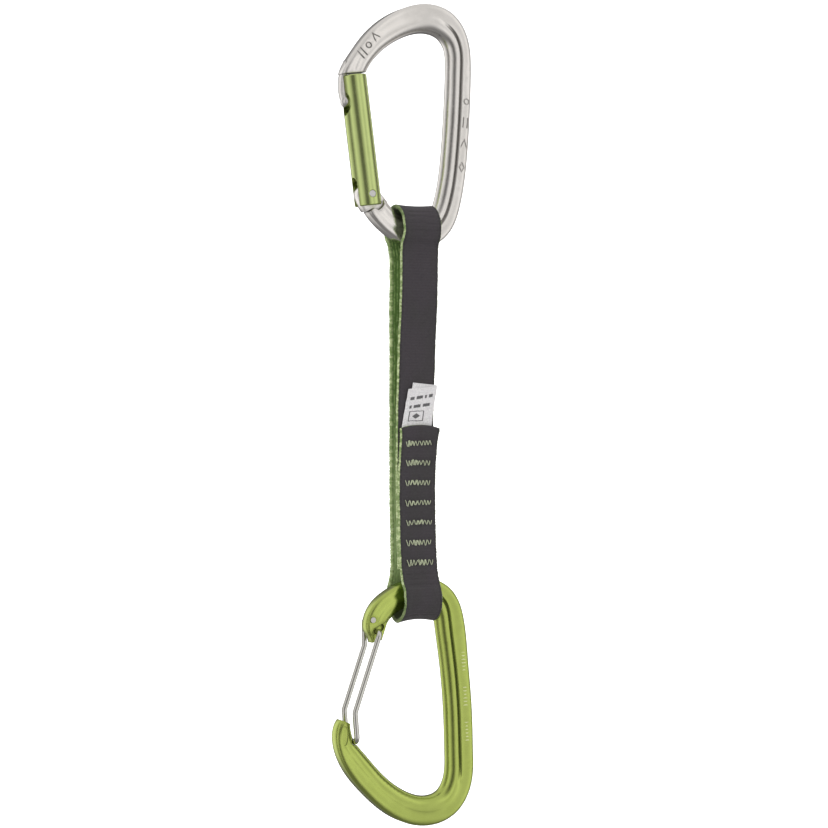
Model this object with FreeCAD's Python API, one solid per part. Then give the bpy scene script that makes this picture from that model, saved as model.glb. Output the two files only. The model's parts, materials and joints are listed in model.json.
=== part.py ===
"""A climbing quickdraw: a solid-gate bolt carabiner, a sewn webbing sling and a wire-gate rope carabiner.

Row frame, in millimetres: +Z up, +X from the gates towards the spines, +Y from the front of the draw to
its back. The origin is the bolt hanger's seat, on the inside of the bolt carabiner's wide arch, straight
above the centre line of the sling. Both carabiners lie in the XZ plane.
"""
import FreeCAD, Part
import math
import os

Vector = FreeCAD.Vector

# ---- bolt carabiner, named along its bar from the nose over the arch to the hinge -------------------
# each station: x, z of the bar's centre, in-plane width, front-to-back thickness, width of the outer rim
BOLT_STATIONS = [
    (-28.5, -24.9, 11.0, 7.8, 3.6),
    (-27.9, -18.9, 10.6, 8.0, 3.8),
    (-25.3, -13.8, 9.6, 8.4, 4.4),
    (-18.1, -4.8, 10.1, 8.8, 5.0),
    (-5.0, 4.0, 11.5, 9.4, 5.4),
    (6.6, 6.6, 12.3, 9.6, 5.4),
    (15.0, 4.2, 12.2, 9.2, 5.4),
    (20.2, -2.7, 10.9, 8.8, 5.4),
    (21.5, -13.5, 10.6, 8.4, 5.4),
    (20.9, -30.7, 10.8, 8.4, 5.4),
    (19.4, -51.6, 10.9, 8.4, 5.4),
    (16.1, -71.1, 11.0, 8.4, 5.4),
    (11.9, -80.1, 11.4, 8.4, 5.4),
    (4.2, -84.5, 11.6, 8.6, 5.4),
    (-6.0, -82.6, 10.6, 8.4, 5.0),
    (-14.3, -76.9, 10.2, 8.0, 4.6),
    (-17.5, -73.3, 10.2, 7.8, 4.2),
]
BOLT_GROOVE = (0.30, 0.93)      # the side grooves start and end at these shares of the bar's length

# ---- bolt gate and its hinge ------------------------------------------------------------------------
GATE_PIVOT = (-21.1, -68.8)     # x, z of the hinge pin
GATE_TILT = 7.6                 # degrees, the gate's top leans away from the spine
GATE_RADIUS = 5.65
GATE_LENGTH = 49.9              # from the pin's centre to the top face
GATE_FOOT = 4.7                 # from the pin's centre to the square end of the foot
GATE_OPEN = 28.0                # degrees
GATE_TOP_GAP = 0.8              # between the gate's top face and the end of the arm
FOOT_CLEARANCE = 0.25           # between the foot and the body's shoulders, as the gate turns
FOOT_STEPS = 8
FOOT_CHAMFER = 0.4
FORK_HALF = 2.45                # half the width of the fork's slot
FORK_HEIGHT = 7.5               # the slot's rounded end above the pin
PIN_RADIUS = 1.6
PIN_CLEARANCE = 0.05
PIN_INSET = 0.15                # the rivet's ends lie this far inside the gate's surface
PIN_CHAMFER = 0.25
LUG_RADIUS = 5.2                # the round lug of the body inside the fork
LUG_HALF = 2.35
LUG_FLAT = 4.2                  # height of the lug's flat, which the plunger rests on
LUG_WEB = [(-5.1, -0.6), (-4.2, -4.0), (-1.6, -7.4), (8.4, -3.0), (5.1, 0.6)]   # x, z from the pin
KEYWAY_HALF = 2.0               # slot for the nose's neck
KEYWAY_DEPTH = 2.6              # measured from the gate's surface
POCKET_HALF_WIDTH = 3.7
POCKET_HALF_HEIGHT = 5.2
POCKET_CENTRE = 38.6            # above the pin
POCKET_DEPTH = 3.1
BORE_RADIUS = 2.1
BORE_TOP = 29.0
PLUNGER_RADIUS = 1.95
PLUNGER_LENGTH = 9.5
PLUNGER_GAP = 0.05
PLUNGER_TIP = 1.0               # height of the follower's conical tip, and the radius of its end
SPRING_WIRE_RADIUS = 0.3
SPRING_RADIUS = 1.55
SPRING_TURNS = 8
SPRING_GAP = 0.05               # between the coil's ends and what they press on

# ---- nose of the bolt carabiner ---------------------------------------------------------------------
NECK_OUTER_X = -33.7
NECK_THICKNESS = 2.7
NECK_HALF = 1.65
NECK_OUTLINE = [(2.2, 17.0), (0.0, 10.1), (0.0, 4.0), (0.7, 0.8), (NECK_THICKNESS, 0.3),
                (NECK_THICKNESS, 14.0)]    # x from the neck's outer side, z from the knob's middle
KNOB_CENTRE = (-31.4, -30.6)
KNOB_HALF = (1.75, 2.6, 2.35)
ARM_CUT_X = (-15, 19)           # the cut that ends the arm above the gate, in the gate's frame
ARM_CUT_HALF_Y = 20
ARM_CUT_LOW = 20

# ---- marks pressed into the bolt carabiner ----------------------------------------------------------
MARK_DEPTH_Y = 3.5              # the marks' floors lie this far from the middle plane
SPINE_MARKS = [(24.0, -27.6), (23.5, -36.6), (22.8, -46.0), (21.7, -55.6)]
SPINE_MARK_TURN = 6.0
ARM_MARKS = [(-25.2, -10.4), (-22.3, -6.9), (-18.9, -3.4)]
ARM_MARK_TURN = -46.0
MARK_LINE = 0.55                # width of a pressed stroke
MARK_REACH = 10                 # how far a mark's cutter reaches forward
RING_MARK_RADIUS = 1.4
STROKE_HALF_HEIGHT = 2.2
STROKE_X = 1.0                  # two strokes, this far left and right of the mark's middle
CHEVRON = [(-1.4, -1.6), (0, 1.6), (1.4, -1.6), (1.4, -0.5), (0, 2.7), (-1.4, -0.5)]
DIAMOND_OUTER = (1.5, 2.4)
DIAMOND_INNER = (0.8, 1.3)

# ---- rope carabiner, named along its bar from the hinge over the narrow end to the nose -------------
ROPE_STATIONS = [
    (-17.1, -255.6, 5.4, 6.6, 4.0),
    (-17.6, -251.6, 8.8, 7.0, 4.2),
    (-16.8, -246.5, 10.2, 7.4, 4.4),
    (-10.9, -240.2, 10.4, 8.0, 4.8),
    (-1.8, -236.3, 10.8, 8.4, 5.0),
    (7.6, -235.9, 11.2, 8.4, 5.2),
    (13.9, -239.9, 11.6, 8.4, 5.4),
    (17.2, -249.1, 12.6, 8.2, 5.4),
    (19.4, -265.8, 12.2, 8.0, 5.4),
    (21.2, -285.6, 12.1, 8.0, 5.4),
    (21.9, -305.5, 12.1, 8.0, 5.4),
    (21.0, -317.2, 12.2, 8.4, 5.4),
    (15.9, -325.3, 12.2, 9.0, 5.4),
    (5.8, -328.4, 12.4, 9.2, 5.2),
    (-6.8, -324.7, 12.3, 9.0, 5.0),
    (-18.6, -315.5, 11.6, 8.6, 4.8),
    (-27.5, -305.3, 11.0, 8.2, 4.4),
    (-31.9, -297.4, 8.6, 7.6, 4.0),
    (-32.6, -292.9, 7.4, 7.5, 3.8),
    (-31.7, -288.6, 5.4, 6.8, 3.4),
]
ROPE_GROOVE = (0.10, 0.62)

# ---- section shared by both bars --------------------------------------------------------------------
GROOVE_START = 0.5              # from the bead's crown towards the rim
GROOVE_END = 2.1
GROOVE_DEPTH = 1.5
PANEL_DROP = 0.35               # the outer panel is this much lower than the bead
PANEL_SLOPE = 0.1               # the panel falls this much from the groove to its rounded edge
CORNER = 1.1                    # rounded edge between panel and rim
GROOVE_FADE = 0.07              # share of the bar's length over which a groove grows to full depth
SECTIONS = 46
BEAD_STEP = 22.5                # degrees between the points of the round bead

# ---- wire gate --------------------------------------------------------------------------------------
WIRE_RADIUS = 1.15
WIRE_LEG_Y = 5.3
WIRE_BEND = 2.6
HOLE_CLEARANCE = 0.05
WIRE_PIVOT = (-19.9, -246.6)    # turned end of the far leg
WIRE_NEAR_END = (-17.5, -251.5)  # turned end of the near leg
WIRE_KNEE = (-29.2, -284.5)
WIRE_TIP = (-28.1, -296.9)
WIRE_OPEN = 28.0
WIRE_END_Y = -3.65
WIRE_BLIND_Y = -1.1
WIRE_JOIN_DROP = 6.5            # the far leg meets the near leg's line this far below the near end
RECESS_HALF = 2.3               # the body's thickness left on each side of its middle at the recesses
NEAR_RECESS = [(-2.0, 1.3), (3.4, 4.1), (9.5, 4.1), (9.5, -9.7), (-6.4, -9.7)]     # x, z from the near end
FAR_RECESS = [(-1.9, 2.2), (1.9, 2.2), (8.1, -0.6), (12.0, -14.6), (-3.1, -14.6)]  # x, z from the pivot
CHANNEL_STEPS = 8               # round holes that make up the near end's channel
CHANNEL_PLAY = 0.1              # round the near end
CHANNEL_END_PLAY = 0.2          # beyond the near end
MOUTH_RADIUS = WIRE_RADIUS + 0.35           # hollow of the nose that takes the wire's cross-piece
MOUTH = [(0, -MOUTH_RADIUS), (12, -MOUTH_RADIUS - 1.9), (12, 8), (0, MOUTH_RADIUS)]  # x, z from the tip
NOSE_OVAL = (-33.0, -294.1)     # hollow on each side of the nose
NOSE_OVAL_HALF = (1.5, 4.0)
NOSE_OVAL_FLOOR = 3.4
NOSE_OVAL_REACH = 2.0

# ---- sling ------------------------------------------------------------------------------------------
WEB_WIDTH = 16.5
WEB_THICKNESS = 2.0
BOLT_BAR_Z = -82.9              # axis on which the sling swings in the bolt carabiner
ROPE_BAR_Z = -237.6             # axis on which the rope carabiner swings in the sling
RING_RADIUS = 9.3               # middle of the webbing round a bar
RING_FIRST = 222                # degrees, where the front strand meets the ring
RING_STEP = 22
RING_POINTS = 13
STRAND_Y = 5.2                  # middle of a strand where it leaves the rope bar, and of the rear strand
FRONT_Y = 6.3                   # middle of the front strand where it leaves the bolt bar
STRAIGHT = 12.0                 # the strands are straight beyond this distance from a bar's axis
BOW = 4.6                       # how far the front strand bows towards the rear one
BOW_STARTS_Z = -92.0
BOW_LENGTH = 80.0
RETURN_ENDS_Z = -230.0          # where the outer layer reaches the rope end's strand
RETURN_LENGTH = 24.0
LAYER_GAP = 0.05                # between the two layers of the overlap
TWIST_Z = -116.6                # the plane across which the sling twists
TWIST_GAP = 0.2
OVERLAP_TOP_Z = -165.2          # free end of the outer layer
INNER_END_Z = -226.4            # free end of the inner layer
TACK_COUNT = 7
TACK_FIRST_Z = -172.8
TACK_PITCH = 8.37
TACK_SIZE = (12.3, 2.7)
TACK_PROUD = 0.35
TACK_CLEARANCE = 0.02
LABEL_WIDTH = 13.2
LABEL_TOP_Z = -147.4
LABEL_THICKNESS = 0.7           # two plies
LABEL_GAP = 0.15                # in front of the inner layer
LABEL_FOOT_GAP = 0.6            # above the outer layer's free end
LABEL_X = 1.2


# ---- small helpers ----------------------------------------------------------------------------------
THROUGH = 10                    # a cutter that reaches this far from the middle plane goes right through


def spline(points, parameters=None, start=None, end=None):
    """A smooth curve through points."""
    curve = Part.BSplineCurve()
    options = {"Points": points}
    if parameters:
        options["Parameters"] = parameters
    if start:
        options["InitialTangent"] = start
        options["FinalTangent"] = end
    curve.interpolate(**options)
    return curve


def smoothstep(value):
    """0 below 0, 1 above 1 and smooth between."""
    value = min(max(value, 0.0), 1.0)
    return value * value * (3.0 - 2.0 * value)


def plate(outline, y_low, y_high):
    """A flat plate with an outline of x, z points, from y_low to y_high."""
    points = [Vector(x, y_low, z) for x, z in outline]
    face = Part.Face(Part.makePolygon(points + points[:1]))
    return face.extrude(Vector(0, y_high - y_low, 0))


def y_cylinder(x, z, radius, y_low, y_high):
    """A round bar or hole along Y."""
    return Part.makeCylinder(radius, y_high - y_low, Vector(x, y_low, z), Vector(0, 1, 0))


def moved(outline, place):
    """An outline of x, z points moved to a place."""
    return [(place[0] + x, place[1] + z) for x, z in outline]


def turned(point, centre, angle):
    """An x, z point turned about a centre; positive moves a point below the centre towards +X."""
    x, z = point[0] - centre[0], point[1] - centre[1]
    cos, sin = math.cos(math.radians(angle)), math.sin(math.radians(angle))
    return centre[0] + x * cos - z * sin, centre[1] + x * sin + z * cos


def stretched(shape, x, y, z):
    """A shape scaled by its own factor along each axis."""
    matrix = FreeCAD.Matrix()
    matrix.scale(Vector(x, y, z))
    return shape.transformGeometry(matrix)


def write(name, *solids):
    """One STEP file for one node."""
    shape = solids[0] if len(solids) == 1 else Part.makeCompound(list(solids))
    shape.exportStep("parts/" + name + ".step")


# ---- carabiner bars ---------------------------------------------------------------------------------
def section_wire(centre, outward, width, thickness, rim, groove):
    """The bar's section: a round bead on the inside, two side grooves, a flatter panel and a flat rim."""
    radius = thickness / 2
    crown = -width / 2 + radius
    panel = radius - PANEL_DROP
    corner_start = width / 2 - CORNER
    groove_end = min(crown + GROOVE_END, corner_start - 0.4)

    def place(across, depth):
        return centre + outward * across + Vector(0, depth, 0)

    def side(sign):
        bed = (crown + GROOVE_START + groove_end) / 2
        valley = [(crown, radius), (crown + GROOVE_START, radius - 0.04 - 0.1 * groove),
                  (bed, radius - 0.12 - groove), (groove_end, panel)]
        edge = [(corner_start, panel - PANEL_SLOPE),
                (width / 2 - 0.32 * CORNER, panel - 0.42 * (panel - rim / 2)), (width / 2, rim / 2)]
        curves = [spline([place(a, sign * d) for a, d in valley]),
                  Part.LineSegment(place(groove_end, sign * panel),
                                   place(corner_start, sign * (panel - PANEL_SLOPE))),
                  spline([place(a, sign * d) for a, d in edge])]
        return [curve.toShape() for curve in curves]

    bead = []
    for step in range(round(180 / BEAD_STEP) + 1):
        angle = math.radians(-90 - BEAD_STEP * step)
        bead.append(place(crown + radius * math.cos(angle), radius * math.sin(angle)))
    rim_edge = Part.LineSegment(place(width / 2, rim / 2), place(width / 2, -rim / 2)).toShape()
    bead_edge = spline(bead, start=-outward, end=outward).toShape()
    return Part.Wire([bead_edge] + side(1) + [rim_edge] + side(-1)[::-1])


def bar(stations, groove_range):
    """The forged bar, lofted through sections across a smooth line through the stations."""
    points = [Vector(x, 0, z) for x, z, *_ in stations]
    lengths = [0.0]
    for before, after in zip(points, points[1:]):
        lengths.append(lengths[-1] + before.distanceToPoint(after))
    line = spline(points, lengths)
    sizes = spline([Vector(at, s[2], s[3]) for at, s in zip(lengths, stations)], lengths)
    rims = spline([Vector(at, s[4], 0) for at, s in zip(lengths, stations)], lengths)
    start, end = groove_range
    wires = []
    for step in range(SECTIONS + 1):
        share = step / SECTIONS
        at = share * lengths[-1]
        tangent = line.tangent(at)[0]
        outward = Vector(-tangent.z, 0, tangent.x)
        width, thickness = sizes.value(at)[1:]
        rim = rims.value(at).y
        strength = smoothstep((share - start) / GROOVE_FADE) * smoothstep((end - share) / GROOVE_FADE)
        wires.append(section_wire(line.value(at), outward, width, thickness, rim, GROOVE_DEPTH * strength))
    return Part.makeLoft(wires, True, False)


# ---- bolt carabiner ---------------------------------------------------------------------------------
def gate_frame():
    """The gate's own frame: origin at the pin, local z along the gate."""
    turn = FreeCAD.Rotation(Vector(0, 1, 0), -GATE_TILT)
    return FreeCAD.Placement(Vector(GATE_PIVOT[0], 0, GATE_PIVOT[1]), turn)


def in_gate_frame(shape):
    """Moves a shape drawn round the local origin to the gate's place."""
    shape.Placement = gate_frame().multiply(shape.Placement)
    return shape


def bolt_nose():
    """The neck that runs down outside the gate and the knob that locks into its pocket."""
    neck = plate(moved(NECK_OUTLINE, (NECK_OUTER_X, KNOB_CENTRE[1])), -NECK_HALF, NECK_HALF)
    knob = stretched(Part.makeSphere(1.0), *KNOB_HALF)
    knob.translate(Vector(KNOB_CENTRE[0], 0, KNOB_CENTRE[1]))
    return neck, knob


def bolt_lug():
    """The round lug inside the gate's fork, with the flat that the plunger presses on."""
    disc = y_cylinder(0, 0, LUG_RADIUS, -LUG_HALF, LUG_HALF)
    above = Part.makeBox(20, 20, 10, Vector(-10, -10, LUG_FLAT))
    disc = in_gate_frame(disc.cut(above))
    web = plate(moved(LUG_WEB, GATE_PIVOT), -LUG_HALF, LUG_HALF)
    return disc, web


def foot_room():
    """Room on both sides of the lug for the gate's square foot as the gate turns."""
    half, low = GATE_RADIUS + FOOT_CLEARANCE, -GATE_FOOT - FOOT_CLEARANCE
    corners = [(-half, low), (half, low), (half, GATE_RADIUS), (-half, GATE_RADIUS)]
    for step in range(FOOT_STEPS + 1):
        outline = [turned(corner, (0, 0), -GATE_OPEN * step / FOOT_STEPS) for corner in corners]
        for y_low, y_high in ((-THROUGH, -LUG_HALF), (LUG_HALF, THROUGH)):
            yield in_gate_frame(plate(outline, y_low, y_high))


def bolt_body():
    """The bolt carabiner's forged body."""
    body = bar(BOLT_STATIONS, BOLT_GROOVE)
    left, right = ARM_CUT_X
    height = GATE_LENGTH + GATE_TOP_GAP - ARM_CUT_LOW
    corner = Vector(left, -ARM_CUT_HALF_Y, ARM_CUT_LOW)
    arm_cut = Part.makeBox(right - left, 2 * ARM_CUT_HALF_Y, height, corner)
    body = body.cut(in_gate_frame(arm_cut))
    for room in foot_room():
        body = body.cut(room)
    for piece in bolt_nose() + bolt_lug():
        body = body.fuse(piece)
    body = body.cut(y_cylinder(*GATE_PIVOT, PIN_RADIUS + PIN_CLEARANCE, -THROUGH, THROUGH)).removeSplitter()
    for mark in pressed_marks():
        body = body.cut(mark)
    return body


def bolt_gate():
    """The solid gate: a round bar with a forked foot, a keyway and a pocket for the nose."""
    gate = Part.makeCylinder(GATE_RADIUS, GATE_LENGTH + GATE_FOOT, Vector(0, 0, -GATE_FOOT))
    rims = [edge for edge in gate.Edges if edge.BoundBox.ZLength < 0.01]
    gate = gate.makeChamfer(FOOT_CHAMFER, rims)
    slot_end = Part.makeCylinder(FORK_HALF, 20, Vector(-10, 0, FORK_HEIGHT - FORK_HALF), Vector(1, 0, 0))
    slot = Part.makeBox(20, 2 * FORK_HALF, FORK_HEIGHT - FORK_HALF + 10, Vector(-10, -FORK_HALF, -10))
    gate = gate.cut(slot.fuse(slot_end))
    keyway = Part.makeBox(10, 2 * KEYWAY_HALF, 20, Vector(-10 - GATE_RADIUS + KEYWAY_DEPTH, -KEYWAY_HALF,
                                                          POCKET_CENTRE))
    pocket = Part.makeCylinder(POCKET_HALF_HEIGHT, 10, Vector(-10, 0, 0), Vector(1, 0, 0))
    pocket = stretched(pocket, 1, POCKET_HALF_WIDTH / POCKET_HALF_HEIGHT, 1)
    pocket.translate(Vector(-GATE_RADIUS + POCKET_DEPTH, 0, POCKET_CENTRE))
    bore = Part.makeCylinder(BORE_RADIUS, BORE_TOP - LUG_FLAT, Vector(0, 0, LUG_FLAT))
    gate = gate.cut(keyway).cut(pocket).cut(bore)
    gate = gate.cut(y_cylinder(0, 0, PIN_RADIUS, -THROUGH, THROUGH))
    return in_gate_frame(gate.removeSplitter())


def bolt_pin():
    """The rivet that carries the gate."""
    half = GATE_RADIUS - PIN_INSET
    pin = y_cylinder(0, 0, PIN_RADIUS, -half, half)
    return in_gate_frame(pin.makeChamfer(PIN_CHAMFER, pin.Edges[:1] + pin.Edges[2:3]))


def bolt_plunger():
    """The follower that the spring presses on to the lug."""
    foot = LUG_FLAT + PLUNGER_GAP
    body = Part.makeCylinder(PLUNGER_RADIUS, PLUNGER_LENGTH - PLUNGER_TIP, Vector(0, 0, foot + PLUNGER_TIP))
    tip = Part.makeCone(PLUNGER_TIP, PLUNGER_RADIUS, PLUNGER_TIP, Vector(0, 0, foot))
    return in_gate_frame(body.fuse(tip).removeSplitter())


def bolt_spring():
    """The coil spring above the follower."""
    low = LUG_FLAT + PLUNGER_GAP + PLUNGER_LENGTH + SPRING_WIRE_RADIUS + SPRING_GAP
    high = BORE_TOP - SPRING_WIRE_RADIUS - SPRING_GAP
    helix = Part.makeHelix((high - low) / SPRING_TURNS, high - low, SPRING_RADIUS)
    start = helix.Edges[0].valueAt(helix.Edges[0].FirstParameter)
    direction = helix.Edges[0].tangentAt(helix.Edges[0].FirstParameter)
    ring = Part.Wire(Part.makeCircle(SPRING_WIRE_RADIUS, start, direction))
    coil = Part.Wire(helix.Edges).makePipeShell([ring], True, True)
    coil.translate(Vector(0, 0, low))
    return in_gate_frame(coil)


def diamond(half_width, half_height):
    """Outline of a diamond round the origin."""
    return [(-half_width, 0), (0, half_height), (half_width, 0), (0, -half_height)]


def ring_mark():
    """A plain ring."""
    outer = y_cylinder(0, 0, RING_MARK_RADIUS, -MARK_REACH, 0)
    return outer.cut(y_cylinder(0, 0, RING_MARK_RADIUS - MARK_LINE, -MARK_REACH, 0))


def bar_mark():
    """Two strokes side by side."""
    half, top = MARK_LINE / 2, STROKE_HALF_HEIGHT
    strokes = []
    for x in (-STROKE_X, STROKE_X):
        outline = [(x - half, -top), (x - half, top), (x + half, top), (x + half, -top)]
        strokes.append(plate(outline, -MARK_REACH, 0))
    return Part.makeCompound(strokes)


def chevron_mark():
    """An open arrowhead."""
    return plate(CHEVRON, -MARK_REACH, 0)


def diamond_mark():
    """The outline of a diamond."""
    outer = plate(diamond(*DIAMOND_OUTER), -MARK_REACH, 0)
    return outer.cut(plate(diamond(*DIAMOND_INNER), -MARK_REACH, 0))


def placed_mark(mark, place, turn):
    """A mark turned in the XZ plane and moved to its place on the front face."""
    mark.rotate(Vector(0, 0, 0), Vector(0, 1, 0), turn)
    mark.translate(Vector(place[0], -MARK_DEPTH_Y, place[1]))
    return mark


def pressed_marks():
    """Four generic marks down the spine and three along the arm."""
    kinds = [ring_mark, bar_mark, chevron_mark, diamond_mark]
    spine = [placed_mark(kind(), at, SPINE_MARK_TURN) for kind, at in zip(kinds, SPINE_MARKS)]
    arm = [placed_mark(kind(), at, ARM_MARK_TURN)
           for kind, at in zip([bar_mark, ring_mark, chevron_mark], ARM_MARKS)]
    return spine + arm


# ---- rope carabiner ---------------------------------------------------------------------------------
def near_end_channel():
    """Arc-shaped pocket in which the near leg's turned end travels as the gate opens."""
    radius = WIRE_RADIUS + HOLE_CLEARANCE + CHANNEL_PLAY
    channel = None
    for step in range(CHANNEL_STEPS + 1):
        x, z = turned(WIRE_NEAR_END, WIRE_PIVOT, WIRE_OPEN * step / CHANNEL_STEPS)
        hole = y_cylinder(x, z, radius, -THROUGH, WIRE_BLIND_Y + CHANNEL_END_PLAY)
        channel = hole if channel is None else channel.fuse(hole)
    return channel.removeSplitter()


def rope_body():
    """The rope carabiner's forged body."""
    body = bar(ROPE_STATIONS, ROPE_GROOVE)
    body = body.cut(plate(moved(NEAR_RECESS, WIRE_NEAR_END), -THROUGH, -RECESS_HALF))
    body = body.cut(plate(moved(FAR_RECESS, WIRE_PIVOT), RECESS_HALF, THROUGH))
    body = body.cut(near_end_channel())
    body = body.cut(y_cylinder(*WIRE_PIVOT, WIRE_RADIUS + HOLE_CLEARANCE, -THROUGH, THROUGH))
    body = body.cut(y_cylinder(*WIRE_TIP, MOUTH_RADIUS, -THROUGH, THROUGH))
    body = body.cut(plate(moved(MOUTH, WIRE_TIP), -THROUGH, THROUGH))
    half_width, half_height = NOSE_OVAL_HALF
    for floor in (-NOSE_OVAL_FLOOR, NOSE_OVAL_FLOOR + NOSE_OVAL_REACH):
        oval = stretched(Part.makeCylinder(1.0, NOSE_OVAL_REACH), half_width, half_height, 1.0)
        oval.rotate(Vector(0, 0, 0), Vector(1, 0, 0), 90)
        oval.translate(Vector(NOSE_OVAL[0], floor, NOSE_OVAL[1]))
        body = body.cut(oval)
    return body.removeSplitter()


def rounded_path(points, radius):
    """A wire of straight stretches with round corners through 3-D points."""
    edges = []
    begin = points[0]
    for corner, after in zip(points[1:-1], points[2:]):
        back = (begin - corner).normalize()
        ahead = (after - corner).normalize()
        half = math.acos(max(-1.0, min(1.0, back.dot(ahead)))) / 2
        trim = radius / math.tan(half)
        trim = min(trim, 0.49 * (after - corner).Length, 0.95 * (begin - corner).Length)
        arc_radius = trim * math.tan(half)
        first, last = corner + back * trim, corner + ahead * trim
        middle_way = (back + ahead).normalize()
        middle = corner + middle_way * (arc_radius / math.sin(half) - arc_radius)
        edges.append(Part.LineSegment(begin, first).toShape())
        edges.append(Part.Arc(first, middle, last).toShape())
        begin = last
    edges.append(Part.LineSegment(begin, points[-1]).toShape())
    return Part.Wire(edges)


def wire_gate():
    """One bent wire: far end through the body, far leg, cross-piece at the nose, near leg, near end."""
    y = WIRE_LEG_Y
    leg_top = WIRE_NEAR_END
    slope = (WIRE_KNEE[0] - leg_top[0]) / (WIRE_KNEE[1] - leg_top[1])
    join = (leg_top[0] - slope * WIRE_JOIN_DROP, leg_top[1] - WIRE_JOIN_DROP)
    points = [
        Vector(WIRE_PIVOT[0], WIRE_END_Y, WIRE_PIVOT[1]),
        Vector(WIRE_PIVOT[0], y, WIRE_PIVOT[1]),
        Vector(join[0], y, join[1]),
        Vector(WIRE_KNEE[0], y, WIRE_KNEE[1]),
        Vector(WIRE_TIP[0], y, WIRE_TIP[1]),
        Vector(WIRE_TIP[0], -y, WIRE_TIP[1]),
        Vector(WIRE_KNEE[0], -y, WIRE_KNEE[1]),
        Vector(leg_top[0], -y, leg_top[1]),
        Vector(leg_top[0], WIRE_BLIND_Y, leg_top[1]),
    ]
    path = rounded_path(points, WIRE_BEND)
    ring = Part.Wire(Part.makeCircle(WIRE_RADIUS, points[0], Vector(0, 1, 0)))
    return path.makePipeShell([ring], True, True)


# ---- sling ------------------------------------------------------------------------------------------
def outer_y(z):
    """Middle of the overlap's outer layer, which swings forward to pass round the rope bar."""
    bowed = -FRONT_Y + BOW * smoothstep((BOW_STARTS_Z - z) / BOW_LENGTH) - WEB_THICKNESS - LAYER_GAP
    straight = smoothstep((z - RETURN_ENDS_Z) / RETURN_LENGTH)
    return -STRAND_Y + (bowed + STRAND_Y) * straight


def inner_y(z):
    """Middle of the front strand and of the overlap's inner layer, which lies behind the outer one."""
    return outer_y(z) + WEB_THICKNESS + LAYER_GAP


def ring_points(bar_z, side):
    """Middle of the webbing round a bar, from the front strand to the rear one; side 1 is over the top."""
    points = []
    for step in range(RING_POINTS):
        angle = math.radians(RING_FIRST - RING_STEP * step)
        points.append((RING_RADIUS * math.cos(angle), bar_z + side * RING_RADIUS * math.sin(angle)))
    return points


def strap(middle, width=WEB_WIDTH, thickness=WEB_THICKNESS):
    """Webbing whose middle follows y, z points, centred on X = 0."""
    curve = spline([Vector(0, y, z) for y, z in middle])
    low, high = curve.FirstParameter, curve.LastParameter
    count = 8 * len(middle)
    sides = ([], [])
    for step in range(count + 1):
        at = low + (high - low) * step / count
        tangent = curve.tangent(at)[0]
        normal = Vector(0, -tangent.z, tangent.y)
        point = curve.value(at)
        sides[0].append(point + normal * (thickness / 2))
        sides[1].append(point - normal * (thickness / 2))
    edges = [spline(sides[0]).toShape(), Part.LineSegment(sides[0][-1], sides[1][-1]).toShape(),
             spline(sides[1][::-1]).toShape(), Part.LineSegment(sides[1][0], sides[0][0]).toShape()]
    face = Part.Face(Part.Wire(edges))
    face.translate(Vector(-width / 2, 0, 0))
    return face.extrude(Vector(width, 0, 0))


def steps_between(start, end, count):
    """Evenly spaced numbers from start to end."""
    return [start + (end - start) * step / count for step in range(count + 1)]


def sling_upper():
    """The bolt end of the sling: both strands and the fold round the bolt carabiner."""
    cut = TWIST_Z + TWIST_GAP / 2
    front = [(inner_y(z), z) for z in steps_between(cut, BOLT_BAR_Z - STRAIGHT, 4)]
    rear = [(STRAND_Y, z) for z in steps_between(BOLT_BAR_Z - STRAIGHT, cut, 4)]
    return strap(front + ring_points(BOLT_BAR_Z, 1) + rear)


def tack_place(index):
    """Height of one bar tack."""
    return TACK_FIRST_Z - TACK_PITCH * index


def tack(index, grow=0.0):
    """One bar tack, through both layers of the overlap."""
    width, height = TACK_SIZE
    z = tack_place(index)
    front = outer_y(z) - WEB_THICKNESS / 2 - TACK_PROUD
    back = inner_y(z) + WEB_THICKNESS / 2 + TACK_PROUD
    corner = Vector(-width / 2 - grow, front - grow, z - height / 2 - grow)
    return Part.makeBox(width + 2 * grow, back - front + 2 * grow, height + 2 * grow, corner)


def sling_lower():
    """The rope end: the layer that folds round the rope carabiner, and the inner layer of the overlap."""
    cut = TWIST_Z - TWIST_GAP / 2
    front = [(outer_y(z), z) for z in steps_between(OVERLAP_TOP_Z, ROPE_BAR_Z + STRAIGHT, 6)]
    rear = [(STRAND_Y, z) for z in steps_between(ROPE_BAR_Z + STRAIGHT, cut, 6)]
    outer = strap(front + ring_points(ROPE_BAR_Z, -1) + rear)
    inner = strap([(inner_y(z), z) for z in steps_between(cut, INNER_END_Z, 10)])
    for index in range(TACK_COUNT):
        hole = tack(index, TACK_CLEARANCE)
        outer = outer.cut(hole)
        inner = inner.cut(hole)
    return outer, inner


def label():
    """The folded cloth tag, just above the outer layer's free end and following the inner layer."""
    offset = (WEB_THICKNESS + LABEL_THICKNESS) / 2 + LABEL_GAP
    heights = steps_between(LABEL_TOP_Z, OVERLAP_TOP_Z + LABEL_FOOT_GAP, 4)
    tag = strap([(inner_y(z) - offset, z) for z in heights], LABEL_WIDTH, LABEL_THICKNESS)
    tag.translate(Vector(LABEL_X, 0, 0))
    return tag


def main():
    os.makedirs("parts", exist_ok=True)
    write("bolt_carabiner_body", bolt_body())
    write("bolt_gate", bolt_gate())
    write("bolt_gate_pin", bolt_pin())
    write("bolt_gate_plunger", bolt_plunger())
    write("bolt_gate_spring", bolt_spring())
    write("rope_carabiner_body", rope_body())
    write("wire_gate", wire_gate())
    write("sling_webbing_upper", sling_upper())
    write("sling_webbing_lower", *sling_lower())
    write("bar_tacks", *[tack(index) for index in range(TACK_COUNT)])
    write("sling_label", label())


main()
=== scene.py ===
import json
import math

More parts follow.
